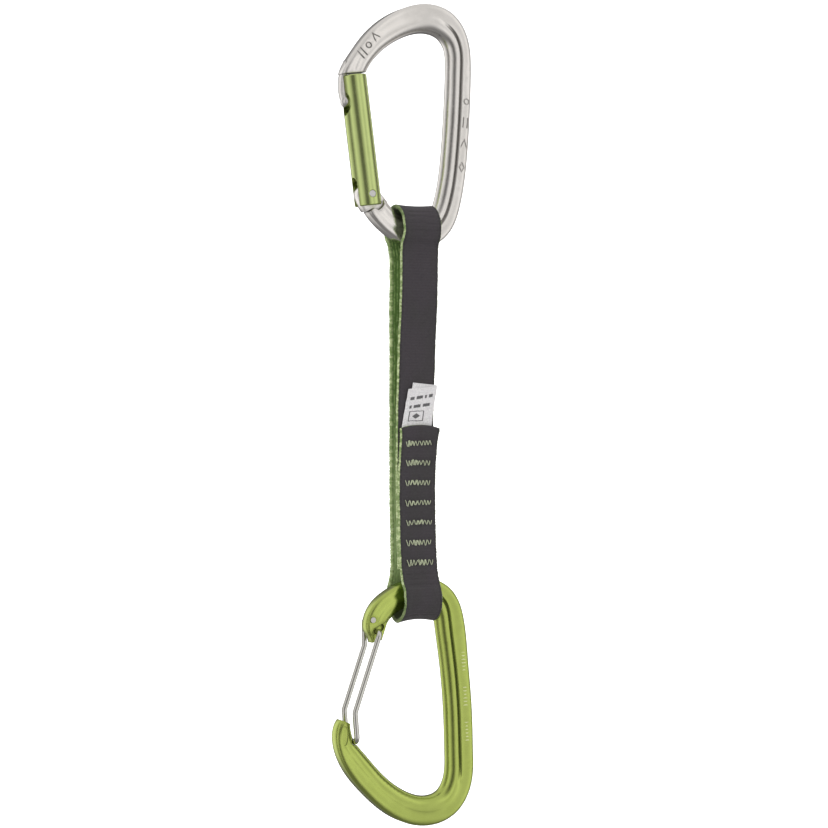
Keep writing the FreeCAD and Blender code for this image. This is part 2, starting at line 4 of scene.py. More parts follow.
import bpy
import numpy as np
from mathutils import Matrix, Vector


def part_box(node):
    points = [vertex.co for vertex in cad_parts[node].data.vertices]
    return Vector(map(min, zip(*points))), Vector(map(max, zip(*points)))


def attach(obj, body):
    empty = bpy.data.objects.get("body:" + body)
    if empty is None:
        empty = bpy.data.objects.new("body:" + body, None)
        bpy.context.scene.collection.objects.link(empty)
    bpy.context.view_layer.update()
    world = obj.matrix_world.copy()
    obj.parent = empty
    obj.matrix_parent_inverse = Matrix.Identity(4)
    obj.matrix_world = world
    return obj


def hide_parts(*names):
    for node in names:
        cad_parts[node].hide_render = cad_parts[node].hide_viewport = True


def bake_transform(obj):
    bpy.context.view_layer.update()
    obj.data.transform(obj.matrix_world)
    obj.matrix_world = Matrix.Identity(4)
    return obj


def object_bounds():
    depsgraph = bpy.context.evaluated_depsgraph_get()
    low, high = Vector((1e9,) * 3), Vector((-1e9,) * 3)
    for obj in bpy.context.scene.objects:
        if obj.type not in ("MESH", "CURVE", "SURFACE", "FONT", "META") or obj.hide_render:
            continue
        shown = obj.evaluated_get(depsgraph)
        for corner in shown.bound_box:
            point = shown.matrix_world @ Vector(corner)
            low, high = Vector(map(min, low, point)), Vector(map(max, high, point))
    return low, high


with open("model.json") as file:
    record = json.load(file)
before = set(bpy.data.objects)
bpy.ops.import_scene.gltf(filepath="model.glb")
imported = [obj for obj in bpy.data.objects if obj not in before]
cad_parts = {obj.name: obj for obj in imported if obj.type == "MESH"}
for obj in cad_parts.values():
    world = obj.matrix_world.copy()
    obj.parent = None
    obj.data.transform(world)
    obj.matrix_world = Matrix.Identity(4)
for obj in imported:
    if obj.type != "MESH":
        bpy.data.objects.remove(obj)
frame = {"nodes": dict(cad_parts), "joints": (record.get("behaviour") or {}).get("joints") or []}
cad_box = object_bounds()

# The looks of a climbing quickdraw: two carabiners joined by a sewn sling of two-tone webbing.
# Lengths in this script are millimetres, turned into Blender's metres by MM where a mesh is made.
# +Z is up, +X runs from the gates to the spines, and the front of the draw faces -Y.
MM = 0.001


def joint(name):
    """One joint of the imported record."""
    return next(j for j in frame["joints"] if j["name"] == name)


# ---- the sling's main sizes, from the frame ------------------------
UPPER_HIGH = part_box("sling_webbing_upper")[1] / MM
TACKS_LOW, TACKS_HIGH = (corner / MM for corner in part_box("bar_tacks"))
TAG_LOW, TAG_HIGH = (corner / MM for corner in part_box("sling_label"))
BOLT_BAR_Z = joint("sling_swing")["pos_m"][2] / MM
ROPE_BAR_Z = joint("rope_carabiner_swing")["pos_m"][2] / MM

EDGE_OUTSIDE = 0.5                  # the woven edges stand this far outside the plain strip
HALF_WIDTH = UPPER_HIGH.x + EDGE_OUTSIDE
CAD_THICKNESS = 2.0                 # of the plain webbing in the frame
THICKNESS = 1.95                    # of the woven webbing
RING_RADIUS = UPPER_HIGH.z - BOLT_BAR_Z - CAD_THICKNESS / 2
STRAND_Y = 5.2                      # middle of a strand where it leaves the rope bar, and of the rear strand
FRONT_Y = 6.3                       # middle of the front strand where it leaves the bolt bar
STRAIGHT = 12.0                     # the strands leave the bars' rings at this distance from the axis
FREE_END_Z = -165.2                 # of the outer layer
INNER_END_Z = -226.4                # of the inner layer
BOW = 4.6                           # the front strand bows this far towards the rear one
BOW_TOP_Z = -92.0
BOW_LENGTH = 80.0
SWING_OUT_Z = -230.0                # below this height the overlap swings forward to the rope bar
SWING_OUT_LENGTH = 24.0
LAYER = CAD_THICKNESS + 0.05        # from one layer of the overlap to the other


# ---- small numeric helpers -----------------------------------------
def smooth(value):
    """0 below 0, 1 above 1 and smooth between."""
    value = np.clip(value, 0.0, 1.0)
    return value * value * (3.0 - 2.0 * value)


def bump_at(value, centre, width):
    """A soft bump of height 1."""
    return np.exp(-(((value - centre) / width) ** 2))


def wave(value, period):
    """0 at the crests and 1 in the valleys of an even ripple."""
    return 0.5 - 0.5 * np.cos(2.0 * np.pi * value / period)


class Wander:
    """A smooth seeded random line through 1-D space, about -1 to 1."""

    COUNT = 512
    START = 200.0

    def __init__(self, seed, spacing):
        self.values = np.random.default_rng(seed).uniform(-1.0, 1.0, self.COUNT)
        self.spacing = spacing

    def __call__(self, at):
        at = np.asarray(at, float) / self.spacing + self.START
        index = np.floor(at).astype(int)
        share = smooth(at - index)
        before = self.values[index % self.COUNT]
        after = self.values[(index + 1) % self.COUNT]
        return before + (after - before) * share


# ---- the sling's middle line ---------------------------------------
def outer_y(z):
    """Middle of the overlap's outer layer, which swings forward to pass round the rope bar."""
    bowed = -FRONT_Y + BOW * smooth((BOW_TOP_Z - z) / BOW_LENGTH) - LAYER
    straight = smooth((z - SWING_OUT_Z) / SWING_OUT_LENGTH)
    return -STRAND_Y + (bowed + STRAND_Y) * straight


def inner_y(z):
    """Middle of the front strand and of the overlap's inner layer, behind the outer one."""
    return outer_y(z) + LAYER


RING_START, RING_STEP, RING_POINTS = 222, 22, 13    # degrees round the bar, from the front
STRAND_SPACING = 5.0
CURVE_STEPS = 40                    # between two points of the middle line, before it is spaced evenly


def ring(bar_z, side):
    """The webbing round a bar, from front to rear; side 1 goes over the top, -1 under the bottom."""
    points = []
    for step in range(RING_POINTS):
        angle = math.radians(RING_START - RING_STEP * step)
        points.append((RING_RADIUS * math.cos(angle), bar_z + side * RING_RADIUS * math.sin(angle)))
    return points


def strand(y_of_z, start, end):
    """Points every few millimetres down or up a strand."""
    count = max(2, round(abs(end - start) / STRAND_SPACING))
    heights = np.linspace(start, end, count + 1)
    return [(float(y_of_z(z)), float(z)) for z in heights]


def rear_y(_):
    """Middle of the rear strand, which hangs straight."""
    return STRAND_Y


def through(points, spacing):
    """A smooth line through y, z points, as evenly spaced points and their distances along it."""
    points = np.array(points, float)
    padded = np.vstack([2 * points[0] - points[1], points, 2 * points[-1] - points[-2]])
    parts = []
    for index in range(len(points) - 1):
        a, b, c, d = padded[index:index + 4]
        t = np.linspace(0, 1, CURVE_STEPS, endpoint=False)[:, None]
        parts.append(0.5 * (2 * b + (c - a) * t + (2 * a - 5 * b + 4 * c - d) * t ** 2
                            + (3 * b - a - 3 * c + d) * t ** 3))
    line = np.vstack(parts + [points[-1:]])
    length = np.concatenate([[0], np.cumsum(np.linalg.norm(np.diff(line, axis=0), axis=1))])
    even = np.arange(0, length[-1], spacing)
    return np.column_stack([np.interp(even, length, line[:, k]) for k in range(2)]), even


def sling_line(spacing):
    """From the outer free end, under the rope bar, up, over the bolt bar and down to the inner end."""
    points = strand(outer_y, FREE_END_Z, ROPE_BAR_Z + STRAIGHT)
    points += ring(ROPE_BAR_Z, -1)
    points += strand(rear_y, ROPE_BAR_Z + STRAIGHT, BOLT_BAR_Z - STRAIGHT)
    points += ring(BOLT_BAR_Z, 1)[::-1]
    points += strand(inner_y, BOLT_BAR_Z - STRAIGHT, INNER_END_Z)
    return through(points, spacing)


# ---- mesh helpers --------------------------------------------------
def mesh_object(name, points, faces, uvs=None, attributes=None):
    """A mesh from points in millimetres, with a UV and float attributes per vertex."""
    mesh = bpy.data.meshes.new(name)
    mesh.from_pydata((np.asarray(points) * MM).tolist(), [], faces)
    mesh.update()
    corner_vertex = np.empty(len(mesh.loops), np.int32)
    mesh.loops.foreach_get("vertex_index", corner_vertex)
    if uvs is not None:
        layer = mesh.uv_layers.new(name="along")
        layer.data.foreach_set("uv", np.asarray(uvs, np.float32)[corner_vertex].ravel())
    for key, values in (attributes or {}).items():
        layer = mesh.attributes.new(key, "FLOAT", "POINT")
        layer.data.foreach_set("value", np.asarray(values, np.float32))
    mesh.shade_smooth()
    result = bpy.data.objects.new(name, mesh)
    bpy.context.scene.collection.objects.link(result)
    return result


def tube_faces(rows, columns, first=0):
    """Quads of a tube of rows by columns, and a fan cap at each end round one of two more points."""
    faces = []
    for row in range(rows - 1):
        base = first + row * columns
        for column in range(columns):
            after = (column + 1) % columns
            above = base + columns
            faces.append((base + column, base + after, above + after, above + column))
    start, end = first + rows * columns, first + rows * columns + 1
    last = first + (rows - 1) * columns
    for column in range(columns):
        after = (column + 1) % columns
        faces.append((start, first + after, first + column))
        faces.append((end, last + column, last + after))
    return faces


def tube_points(line, radius, sides, squash):
    """A thread along a line of 3-D points: its points, with the caps' two last, their UVs and its rows."""
    line = np.asarray(line, float)
    tangent = np.gradient(line, axis=0)
    tangent /= np.linalg.norm(tangent, axis=1)[:, None]
    facing = np.array([0.0, -1.0, 0.0])
    side = np.cross(tangent, facing)
    side /= np.maximum(np.linalg.norm(side, axis=1), 1e-6)[:, None]
    up = np.cross(side, tangent)
    angles = np.linspace(0, 2 * np.pi, sides, endpoint=False)
    sideways = np.cos(angles)[None, :, None] * side[:, None, :]
    upwards = squash * np.sin(angles)[None, :, None] * up[:, None, :]
    circle = line[:, None, :] + radius * (sideways + upwards)
    length = np.concatenate([[0], np.cumsum(np.linalg.norm(np.diff(line, axis=0), axis=1))])
    uv = np.stack(np.broadcast_arrays(angles[None, :] / (2 * np.pi), length[:, None]), axis=-1)
    points = np.vstack([circle.reshape(-1, 3), line[:1], line[-1:]])
    uv = np.vstack([uv.reshape(-1, 2), [[0.5, 0.0]], [[0.5, length[-1]]]])
    return points, uv, len(line)


# ---- the webbing ---------------------------------------------------
ROW = 0.30                          # spacing of the mesh along the strip
DARK_COLUMNS = 46
GREEN_COLUMNS = 60
RIB = 1.2                           # pitch of the cross ribs on the dark side
RIB_DEPTH = 0.006
CORD = 1.38                         # pitch of the lengthwise cords on the green side
CORD_DEPTH = 0.11
SELVEDGE = 1.35                     # width of the woven edge
SEAM_WIDTH = 0.22                   # of the groove beside the woven edge
DARK_SEAM, GREEN_SEAM = 0.10, 0.12  # its depth on either face
EDGE_ROUND = 0.55                   # how far the rounded edge reaches in
EDGE_STEPS = 4
EDGE_TICK = 1.25                    # pitch of the woven edge's bumps
FLAT = 0.99                         # share of the half thickness from which a point is on a flat face

TACK_COUNT = 7
TACK_HEIGHT = 2.7
TACK_HALF_WIDTH = (TACKS_HIGH.x - TACKS_LOW.x) / 2
TACK_PITCH = (TACKS_HIGH.z - TACKS_LOW.z - TACK_HEIGHT) / (TACK_COUNT - 1)
TACK_HEIGHTS = [TACKS_HIGH.z - TACK_HEIGHT / 2 - TACK_PITCH * index for index in range(TACK_COUNT)]
DENT_DEPTH = 0.30                   # how far the stitches pull a face in
DENT_REACH = 1.9                    # how far above and below a tack they do
DENT_MIDDLE, DENT_MARGIN, DENT_FADE = 0.3, 1.2, 1.6

BAR_CREASES = [                     # in rows where the strip bends hard round a bar: heights from its axis
    (ROPE_BAR_Z, (9.4, 7.4, 5.0, -6.6)), (BOLT_BAR_Z, (6.4, 4.6, 2.0, -1.0))]
BAR_CREASE_DEPTH, BAR_CREASE_WIDTH = 0.26, 0.30
CREASES = [                         # on the dark face: height, middle and half length across, depth
    (-93.5, 1.0, 4.0, 0.10), (-99.0, -2.5, 3.5, 0.08), (-113.0, 0.5, 5.0, 0.07), (-131.5, -3.0, 4.0, 0.05),
    (-151.0, -1.0, 4.5, 0.06), (-224.0, 1.5, 5.0, 0.10), (-232.5, -0.5, 6.0, 0.10)]
CREASE_WIDTH = 0.22

FRONT_Y_LIMIT = 2.2                 # the front strand and both layers of the overlap lie before this Y
FIRST_LAYER = 90.0                  # the outer layer's length with the tacks in it
BEND = 9.0                          # half length of the strip's saddle shape over a bar
END_BEND = 9.0                      # length of the free end that arches over the tag
END_THIN = 0.9                      # length over which either end is pressed thinner

RIPPLE, FLUTTER = Wander(3, 9.0), Wander(4, 4.0)          # slow bends of the front strand
REAR_RIPPLE = Wander(5, 11.0)
FRONT_SWAY, REAR_SWAY = Wander(6, 13.0), Wander(7, 15.0)  # of the strands, to the sides
EDGE_WANDER = Wander(8, 1.1)


def tack_dent(x, z):
    """How deeply the stitches pull the webbing in, 0 to 1."""
    across = smooth((TACK_HALF_WIDTH + DENT_MARGIN - np.abs(x - DENT_MIDDLE)) / DENT_FADE)
    return across * sum(bump_at(z, centre, DENT_REACH) for centre in TACK_HEIGHTS)


def section():
    """The strip's outline: across, share of the half thickness, and 0 on the dark side to 1 on the green."""
    flat = HALF_WIDTH - EDGE_ROUND
    across = list(np.linspace(-flat, flat, DARK_COLUMNS))
    height = [1.0] * DARK_COLUMNS
    for edge in (1, -1):
        angles = np.linspace(90, -90, EDGE_STEPS + 3)[1:-1] * edge
        across += [edge * (flat + EDGE_ROUND * math.cos(math.radians(a))) for a in angles]
        height += [math.sin(math.radians(a)) for a in angles]
        if edge == 1:
            across += list(np.linspace(flat, -flat, GREEN_COLUMNS))
            height += [-1.0] * GREEN_COLUMNS
    across, height = np.array(across), np.array(height)
    return across, height, (1.0 - height) / 2


def along_at(line, along, z):
    """Distance along the strip of the point nearest to Y = 0 at a height."""
    miss = np.abs(line[:, 0]) + np.abs(line[:, 1] - z)
    return along[int(np.argmin(miss))]


def weave_depth(u, s, dark, green):
    """Depth of the ribs, the cords and the grooves beside the woven edges."""
    inside_edges = smooth((HALF_WIDTH - SELVEDGE - np.abs(u)) / 0.25)
    seam = bump_at(np.abs(u), HALF_WIDTH - SELVEDGE, SEAM_WIDTH)
    depth = dark * RIB_DEPTH * wave(s, RIB) * inside_edges
    depth = depth + dark * DARK_SEAM * seam
    depth = depth + green * CORD_DEPTH * wave(u, CORD) * inside_edges
    return depth + green * GREEN_SEAM * seam


def add_creases(depth, where, u, z):
    """Presses the creases into the depths of the dark face."""
    for bar_z, places in BAR_CREASES:
        for order, place in enumerate(places):
            line = bar_z + place + 0.12 * np.sin(u / 2.0 + order)
            depth += (where * BAR_CREASE_DEPTH * bump_at(z, line, BAR_CREASE_WIDTH)
                      * smooth((HALF_WIDTH - 1.5 - np.abs(u)) / 2.0))
    for crease_z, middle, reach, deep in CREASES:
        line = crease_z + 0.15 * np.sin(u / 1.7 + middle)
        depth += (where * deep * bump_at(z, line, CREASE_WIDTH)
                  * smooth((reach - np.abs(u - middle)) / 2.0))


def slow_bends(u, z, rear, under, over, end):
    """How far the strip leaves its middle line, outward."""
    share = u / HALF_WIDTH
    lift = 0.10 * RIPPLE(z) * np.cos(u / 7.0) + 0.05 * FLUTTER(z + 3.0 * u / HALF_WIDTH)
    lift = lift + (0.12 * REAR_RIPPLE(z) - lift) * rear
    # saddle shapes under the rope bar and over the bolt bar
    lift = lift + under * (1.15 * ((u - 0.8) / HALF_WIDTH) ** 2 - 0.45)
    lift = lift + over * (0.55 * share ** 2 - 0.20)
    # the free end arches over the tag, and its corner flares
    return lift + end * (0.75 * bump_at(u, 0.5, 5.5) + 0.5 * smooth((u - 5.0) / 4.0))


def side_shift(s, z, rear):
    """How far the strands hang to the right of the middle."""
    low_end = smooth((ROPE_BAR_Z + 22.0 - z) / 18.0)
    in_front = 0.16 * FRONT_SWAY(z) + 0.3 + 0.4 * low_end + 1.2 * smooth(1.0 - s / 26.0)
    behind = 0.16 * REAR_SWAY(z) + 0.8 + 0.5 * smooth((-180.0 - z) / 40.0)
    # the rear edge keeps clear of the bolt bar when the sling swings
    behind = behind - 0.6 * smooth((z + 89.0) / 5.0)
    shift = in_front + (behind - in_front) * rear
    return shift + 0.4 * smooth((ROPE_BAR_Z + 2.0 - z) / 8.0)


def webbing():
    """The whole sling as the one strip it is, sewn to itself in front."""
    line, along = sling_line(ROW)
    tangent = np.gradient(line, axis=0)
    for _ in range(3):
        tangent[1:-1] = (tangent[:-2] + 2 * tangent[1:-1] + tangent[2:]) / 4
    tangent /= np.linalg.norm(tangent, axis=1)[:, None]
    outward = np.column_stack([tangent[:, 1], -tangent[:, 0]])
    across, height, greenness = section()
    u, h = across[None, :], height[None, :]
    s, y, z = along[:, None], line[:, 0][:, None], line[:, 1][:, None]
    total = along[-1]
    front = y < FRONT_Y_LIMIT
    rear = smooth((y + 4.0) / 8.0)
    dark, green = (h > FLAT), (h < -FLAT)
    under = bump_at(s, along_at(line, along, ROPE_BAR_Z - RING_RADIUS), BEND)
    over = bump_at(s, along_at(line, along, BOLT_BAR_Z + RING_RADIUS), BEND)
    end = smooth(1.0 - s / END_BEND)

    depth = weave_depth(u, s, dark, green)
    stitched = front * smooth((FREE_END_Z + 4.0 - z) / 3.0)
    dent = stitched * tack_dent(u, z)
    depth += np.where(s < FIRST_LAYER, dark, green) * DENT_DEPTH * dent
    add_creases(depth, dark * front, u, z)

    half = THICKNESS / 2 - depth
    for from_end in (s, total - s):
        half = half * (1.0 - 0.5 * smooth(1.0 - from_end / END_THIN))
    offset = slow_bends(u, z, rear, under, over, end) + half * h
    widen = 1.0 + 0.02 * under + 0.03 * end
    at_edges = smooth((np.abs(u) - HALF_WIDTH + 0.9) / 0.8) * np.sign(u)
    bumps = 0.10 * np.cos(2 * np.pi * s / EDGE_TICK) + 0.12 * EDGE_WANDER(s)

    points = np.empty((len(along), len(across), 3))
    points[:, :, 0] = (u * widen + side_shift(s, z, rear) + at_edges * bumps
                       + end * 0.3 * smooth(u / HALF_WIDTH))
    points[:, :, 1] = y + offset * outward[:, 0][:, None]
    points[:, :, 2] = z + offset * outward[:, 1][:, None]
    points[:, :, 2] -= end * 1.5 * np.abs(u / HALF_WIDTH) ** 2.4

    caps = [points[0].mean(0), points[-1].mean(0)]
    uv = np.stack(np.broadcast_arrays(u, s), axis=-1).reshape(-1, 2)
    uv = np.vstack([uv, [[0, 0]], [[0, total]]])
    tone = np.concatenate([np.tile(greenness, len(along)), [0.5, 0.5]])
    # how deep the stitches pull the webbing in, for the painted shade in the dents
    dent_shade = np.concatenate([dent.ravel(), [0, 0]])
    piece = mesh_object("sling_webbing", np.vstack([points.reshape(-1, 3), caps]),
                        tube_faces(len(along), len(across)), uv, {"greenness": tone, "dent": dent_shade})
    piece.data.materials.append(webbing_material())
    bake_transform(piece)
    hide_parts("sling_webbing_upper", "sling_webbing_lower")


# ---- stitching -----------------------------------------------------
THREAD_RADIUS = 0.16
THREAD_SIDES = 8
THREAD_SQUASH = 0.8                 # the thread is pressed a little flat
STITCH_PITCH = 1.7                  # one zigzag
STITCH_BELOW, STITCH_ABOVE = 1.35, 1.4    # the zigzag's corners, from the middle of a tack
CORNER_SINK = -0.42                 # depth of the thread at its corners, below the face
PROUD, SECOND_PROUD = 0.10, 0.16    # height between corners, and what the second pass adds
STITCH_STEPS = 6                    # points from one corner to the next
SECOND_CORNERS = 5                  # of the short second pass
SECOND_SHIFT = 0.28
FACE_PULL = 0.20                    # how far the tacks pull a face in


def zigzag(rng, left, right, low, high):
    """Corner points of one pass of a zigzag, from left to right, with a longer first stitch."""
    corners = []
    x = left
    top = True
    while x < right:
        height = (high if top else low) + rng.normal(0, 0.16)
        corners.append((x + rng.normal(0, 0.08), height))
        x += STITCH_PITCH / 2 * rng.uniform(0.78, 1.22)
        top = not top
    corners[0] = (left - 0.2, high + 0.35)
    corners[1] = (left + 1.1, low - 0.75)
    return corners


def stitched_line(corners, face_y, proud, direction):
    """The thread's path: out over the webbing between corners and into it at each corner."""
    line = []
    for (x0, z0), (x1, z1) in zip(corners, corners[1:]):
        for step in range(STITCH_STEPS):
            share = step / STITCH_STEPS
            x, z = x0 + (x1 - x0) * share, z0 + (z1 - z0) * share
            rise = math.sin(math.pi * share) ** 0.6 if share > 0 else 0.0
            out = CORNER_SINK + (proud - CORNER_SINK) * rise
            line.append((x, face_y(z) + direction * out, z))
    x, z = corners[-1]
    line.append((x, face_y(z) + direction * CORNER_SINK, z))
    return line


def threads(name, face_y, direction, seed):
    """The bar tacks: in each a zigzag, and a few corners of a second pass over it."""
    rng = np.random.default_rng(seed)
    points, uvs, faces, count = [], [], [], 0
    for centre in TACK_HEIGHTS:
        shift = rng.normal(0, 0.25)
        lean = rng.normal(0, 0.12)
        left, right = -TACK_HALF_WIDTH + 0.9 + shift, TACK_HALF_WIDTH + 1.0 + shift
        first = zigzag(rng, left, right, centre - STITCH_BELOW, centre + STITCH_ABOVE)
        again = first[int(rng.integers(1, 7)):][:SECOND_CORNERS]
        second = [(x + SECOND_SHIFT + rng.normal(0, 0.1), z + rng.normal(0, 0.2)) for x, z in again]
        for turn, corners in enumerate((first, second)):
            corners = [(x, z + lean * x / 6) for x, z in corners]
            line = stitched_line(corners, face_y, PROUD + SECOND_PROUD * turn, direction)
            made, uv, rows = tube_points(line, THREAD_RADIUS, THREAD_SIDES, THREAD_SQUASH)
            points.append(made)
            uvs.append(uv)
            faces += tube_faces(rows, THREAD_SIDES, count)
            count += len(made)
    piece = mesh_object(name, np.vstack(points), faces, np.vstack(uvs))
    piece.data.materials.append(thread_material())
    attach(piece, "sling_lower")
    return piece


def front_face(z):
    """Y of the outer layer's dark face where the tacks pull it in."""
    return float(outer_y(z)) - THICKNESS / 2 + FACE_PULL


def back_face(z):
    """Y of the inner layer's rear face under the tacks."""
    return float(inner_y(z)) + THICKNESS / 2 - FACE_PULL


# ---- the tag -------------------------------------------------------
TAG_PLY = 0.26
TAG_COLUMNS, TAG_ROWS = 34, 44
TAG_GAP = 0.10                      # between the webbing and the rear ply
TAG_PLY_GAP = 0.06                  # between the plies
TAG_TUCKED = 3.0                    # length of the tag under the outer layer


def tag_ply(corners, gap, curl, seed):
    """One ply of the cloth tag between four x, z corners: bottom left, bottom right, top right, top left."""
    wander = Wander(seed, 4.0)
    bottom_left, bottom_right, top_right, top_left = [np.array(c, float) for c in corners]
    sheet = np.empty((2, TAG_ROWS + 1, TAG_COLUMNS + 1, 3))
    uv = np.empty((2, TAG_ROWS + 1, TAG_COLUMNS + 1, 2))
    for row in range(TAG_ROWS + 1):
        t = row / TAG_ROWS
        left = bottom_left * (1 - t) + top_left * t
        right = bottom_right * (1 - t) + top_right * t
        for column in range(TAG_COLUMNS + 1):
            share = column / TAG_COLUMNS
            x, z = left * (1 - share) + right * share
            strap_front = float(inner_y(z)) - THICKNESS / 2 - gap
            bend = curl * t ** 2 + 0.25 * float(wander(x + 2.0 * z)) * t
            bend += 0.45 * smooth((x - HALF_WIDTH + 1.5) / 3.0) * t
            for side in range(2):
                sheet[side, row, column] = (x, strap_front - bend - TAG_PLY * (1 - side), z)
                uv[side, row, column] = (share, t)
    width = TAG_COLUMNS + 1
    size = (TAG_ROWS + 1) * width
    faces = []
    for row in range(TAG_ROWS):
        for column in range(TAG_COLUMNS):
            a = row * width + column
            faces.append((a, a + 1, a + width + 1, a + width))
            faces.append((size + a, size + a + width, size + a + width + 1, size + a + 1))
    rim = list(range(width)) + [row * width + width - 1 for row in range(1, TAG_ROWS + 1)]
    rim += [TAG_ROWS * width + column for column in range(width - 2, -1, -1)]
    rim += [row * width for row in range(TAG_ROWS - 1, 0, -1)]
    for a, b in zip(rim, rim[1:] + rim[:1]):
        faces.append((a, size + a, size + b, b))
    return sheet.reshape(-1, 3), faces, uv.reshape(-1, 2)


def tag():
    """Two plies of cloth; the front one is printed and leans a little more."""
    left, right = TAG_LOW.x, TAG_HIGH.x
    low, high = TAG_LOW.z - TAG_TUCKED, TAG_HIGH.z
    rear = [(left + 0.4, low), (right - 0.3, low), (right + 1.7, high - 1.0), (left + 3.8, high)]
    front = [(left - 1.3, low), (right - 0.5, low), (right + 1.7, high - 1.3), (left + 1.6, high - 2.7)]
    plies = [("sling_tag_rear", rear, TAG_GAP, 0.15, 21, False),
             ("sling_tag_front", front, TAG_GAP + TAG_PLY + TAG_PLY_GAP, 0.30, 22, True)]
    for name, corners, gap, curl, seed, printed in plies:
        points, faces, uv = tag_ply(corners, gap, curl, seed)
        piece = mesh_object(name, points, faces, uv)
        piece.data.materials.append(tag_material(printed))
        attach(piece, "sling_lower")
        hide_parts("sling_label")


# ---- materials -----------------------------------------------------
class Nodes:
    """Short hand for building a node tree."""

    def __init__(self, tree):
        self.tree = tree
        self.tree.nodes.clear()

    def link(self, source, target):
        """Connects two sockets."""
        self.tree.links.new(source, target)

    def put(self, value, target):
        """Connects a socket, or sets a plain value."""
        if isinstance(value, bpy.types.NodeSocket):
            self.link(value, target)
        elif value is not None:
            target.default_value = value

    def node(self, kind, **settings):
        """A new node with its settings."""
        made = self.tree.nodes.new("ShaderNode" + kind)
        for key, value in settings.items():
            setattr(made, key, value)
        return made

    def fed(self, made, *values):
        """The node's first output, with values put into its first inputs."""
        for value, socket in zip(values, made.inputs):
            self.put(value, socket)
        return made.outputs[0]

    def math(self, operation, a, b=None, c=None):
        """One sum of up to three values."""
        return self.fed(self.node("Math", operation=operation), a, b, c)

    def vector(self, operation, a, b=None):
        """One sum of vectors."""
        return self.fed(self.node("VectorMath", operation=operation), a, b)

    def ramp(self, value, low, high, to_low=0.0, to_high=1.0):
        """A soft step between two values."""
        made = self.node("MapRange", interpolation_type="SMOOTHSTEP")
        return self.fed(made, value, low, high, to_low, to_high)

    def mix(self, factor, a, b):
        """From colour a to colour b."""
        return self.fed(self.node("MixRGB"), factor, a, b)

    def noise(self, vector, scale, detail=2.0, roughness=0.5):
        """Noise about 0.5, finer with a higher scale."""
        made = self.node("TexNoise")
        self.put(vector, made.inputs["Vector"])
        made.inputs["Scale"].default_value = scale
        made.inputs["Detail"].default_value = detail
        made.inputs["Roughness"].default_value = roughness
        return made.outputs["Fac"]

    def place(self, scale=(1.0, 1.0, 1.0)):
        """Object coordinates in millimetres, stretched by scale."""
        coordinates = self.node("TexCoord")
        mapping = self.node("Mapping")
        mapping.inputs["Scale"].default_value = [value / MM for value in scale]
        self.link(coordinates.outputs["Object"], mapping.inputs["Vector"])
        return mapping.outputs[0]

    def split(self, vector):
        """The three parts of a vector."""
        made = self.node("SeparateXYZ")
        self.put(vector, made.inputs[0])
        return made.outputs

    def uv(self):
        """Across and along a strip or a thread."""
        return self.node("UVMap", uv_map="along").outputs[0]

    def attribute(self, name):
        """A float stored at the mesh's vertices."""
        return self.node("Attribute", attribute_name=name).outputs["Fac"]

    def ripple(self, value, period):
        """0 to 1 and back over one period."""
        turned = self.math("MULTIPLY", value, 2 * math.pi / period)
        return self.math("MULTIPLY_ADD", self.math("COSINE", turned), 0.5, 0.5)

    def bump(self, height, distance, strength, normal=None):
        """A normal bent by a height, in millimetres."""
        made = self.node("Bump")
        made.inputs["Strength"].default_value = strength
        made.inputs["Distance"].default_value = distance * MM
        self.put(height, made.inputs["Height"])
        self.put(normal, made.inputs["Normal"])
        return made.outputs[0]


class Surface(Nodes):
    """The node tree of a new material."""

    def __init__(self, name):
        self.material = bpy.data.materials.new(name)
        self.material.use_nodes = True
        super().__init__(self.material.node_tree)
        output = self.node("OutputMaterial")
        self.shader = self.node("BsdfPrincipled")
        self.link(self.shader.outputs[0], output.inputs["Surface"])

    def finish(self, **inputs):
        """Feeds the shader's named inputs."""
        for key, value in inputs.items():
            self.put(value, self.shader.inputs[key.replace("_", " ")])
        return self.material


def linear(red, green, blue):
    """An sRGB colour of 0 to 255 as a linear one."""
    parts = [part / 255 for part in (red, green, blue)]
    return tuple(p / 12.92 if p < 0.04045 else ((p + 0.055) / 1.055) ** 2.4 for p in parts) + (1.0,)


YARN_PITCH = 0.62                   # of the fine yarns in a rib
YARN_SHIFT = 0.31                   # from one rib to the next
FLOAT_PITCH = 1.4                   # of the short weft floats on the green side
FLOAT_SHIFT = 0.7                   # from one cord to the next
DASH_PITCH = 2.4                    # of the dashes in the dark side's woven edge
RIM_OUTER, RIM_INNER = 0.30, 0.42   # the pale rim ends this far inside the strip's edge


def dark_face(n, u, v, grain, at_edge):
    """Height and colour of the dark face: ribs across, each made of fine yarns."""
    drift = n.noise(n.place((1, 1, 0.4)), 0.09, 2.0)
    rib_index = n.math("FLOOR", n.math("DIVIDE", v, RIB))
    yarns = n.ripple(n.math("ADD", u, n.math("MULTIPLY", rib_index, YARN_SHIFT)), YARN_PITCH)
    height = n.math("MULTIPLY", n.math("MULTIPLY_ADD", n.ripple(v, RIB), 0.25, 0.75),
                    n.math("MULTIPLY_ADD", yarns, 0.4, 0.6))
    colour = n.mix(height, linear(54, 50, 54), linear(67, 62, 67))
    colour = n.mix(n.ramp(drift, 0.35, 0.7, 0.0, 0.6), colour, linear(58, 57, 56))
    colour = n.mix(n.math("MULTIPLY", grain, 0.3), colour, linear(44, 42, 43))
    dashes = n.math("MULTIPLY_ADD", n.ripple(v, DASH_PITCH), 0.25, 0.1)
    return height, n.mix(n.math("MULTIPLY", at_edge, dashes), colour, linear(30, 30, 28))


